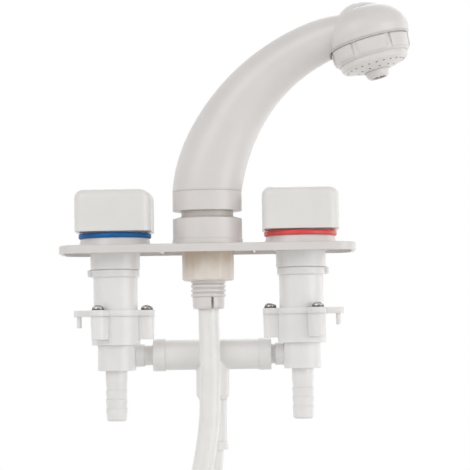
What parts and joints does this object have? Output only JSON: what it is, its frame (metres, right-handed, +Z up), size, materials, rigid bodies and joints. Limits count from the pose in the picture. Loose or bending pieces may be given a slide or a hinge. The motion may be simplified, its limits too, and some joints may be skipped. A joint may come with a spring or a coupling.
{
  "type": "shower mixer",
  "caption": "Deck-mounted shower mixer with square knobs, a tee under the deck and a swivelling, lift-out swan-neck shower handset on a coiled hose.",
  "frame": {"origin": "centre pedestal's axis on the deck, at the underside of the deck plate's rim", "axes": "+Z up out of the deck, +X from the cold knob to the hot knob, -Y towards the user"},
  "size_m": [0.2836, 0.0699, 0.4712],
  "materials": {
    "body_plastic": "warm white moulded plastic, smooth with a soft gloss",
    "knob_plastic": "cool white moulded plastic, satin gloss",
    "button_plastic": "light grey-white plastic, soft gloss",
    "blue_ring": "deep blue plastic, soft gloss",
    "red_ring": "brick red plastic, soft gloss",
    "valve_resin": "milky white engineering resin, faintly see-through at its edges, satin",
    "nut_resin": "cream nylon, satin",
    "spray_plastic": "light grey plastic, soft gloss",
    "slide_resin": "off-white acetal, satin",
    "hose_vinyl": "white vinyl with a faint green tone, satin, slightly uneven along its length",
    "tie_nylon": "milky nylon strap, satin",
    "screw_steel": "bright plated steel",
    "spindle_brass": "turned brass",
    "disc_ceramic": "lapped white ceramic",
    "spring_steel": "stainless spring wire",
    "seal_rubber": "black nitrile rubber"
  },
  "bodies": {
    "base": {"deck_plate": "body_plastic", "pedestal": "body_plastic", "pedestal_trim": "body_plastic", "deck_nut": "nut_resin", "tee": "valve_resin", "hose_ferrule": "valve_resin", "cold_valve_body": "valve_resin", "cold_retaining_nut": "nut_resin", "cold_lock_ring": "valve_resin", "cold_inlet_body": "valve_resin", "cold_body_screws": "screw_steel", "cold_cartridge_housing": "slide_resin", "cold_fixed_disc": "disc_ceramic", "cold_spindle_seal": "seal_rubber", "cold_disc_seal": "seal_rubber", "cold_port_seal": "seal_rubber", "cold_index_ring": "blue_ring", "hot_valve_body": "valve_resin", "hot_retaining_nut": "nut_resin", "hot_lock_ring": "valve_resin", "hot_inlet_body": "valve_resin", "hot_body_screws": "screw_steel", "hot_cartridge_housing": "slide_resin", "hot_fixed_disc": "disc_ceramic", "hot_spindle_seal": "seal_rubber", "hot_disc_seal": "seal_rubber", "hot_port_seal": "seal_rubber", "hot_index_ring": "red_ring", "hose_drop": "hose_vinyl", "hose_coil": "hose_vinyl", "hose_return": "hose_vinyl", "coil_tie": "tie_nylon"},
    "cold_tap": {"cold_knob": "knob_plastic", "cold_spindle": "spindle_brass", "cold_moving_disc": "disc_ceramic"},
    "hot_tap": {"hot_knob": "knob_plastic", "hot_spindle": "spindle_brass", "hot_moving_disc": "disc_ceramic"},
    "swivel": {"swivel_liner": "slide_resin"},
    "handset": {"handset_shell": "body_plastic", "handset_collar": "body_plastic", "hose_connector": "spindle_brass", "connector_washer": "seal_rubber", "waterway": "valve_resin", "head_chamber": "valve_resin", "face_seal": "seal_rubber", "button_spring": "spring_steel", "hose_upper": "hose_vinyl"},
    "selector": {"selector_ring": "body_plastic", "spray_face": "spray_plastic", "diverter_disc": "slide_resin", "centre_nozzle": "spray_plastic"},
    "stop_button": {"stop_button": "button_plastic"}
  },
  "joints": [
    {"name": "cold_knob_turn", "type": "hinge", "parent": "base", "child": "cold_tap", "pos_m": [-0.0556, 0, 0.012], "axis": [0, 0, 1], "range_deg": [0, 90]},
    {"name": "hot_knob_turn", "type": "hinge", "parent": "base", "child": "hot_tap", "pos_m": [0.0556, 0, 0.012], "axis": [0, 0, 1], "range_deg": [0, 90]},
    {"name": "handset_swivel", "type": "hinge", "parent": "base", "child": "swivel", "pos_m": [0, 0, 0.0217], "axis": [0, 0, 1], "range_deg": [-180, 180]},
    {"name": "handset_lift", "type": "slide", "parent": "swivel", "child": "handset", "axis": [0, 0, 1], "range_m": [0, 0.05]},
    {"name": "selector_turn", "type": "hinge", "parent": "handset", "child": "selector", "pos_m": [0.09778, -0.01549, 0.1231], "axis": [0.2556, -0.0405, -0.9659], "range_deg": [0, 60]},
    {"name": "stop_button_press", "type": "slide", "parent": "handset", "child": "stop_button", "axis": [0.2556, -0.0405, -0.9659], "range_m": [0, 0.0025], "stiffness_N_per_m": 500, "springref_m": -0.002, "deforming": ["button_spring"]}
  ]
}
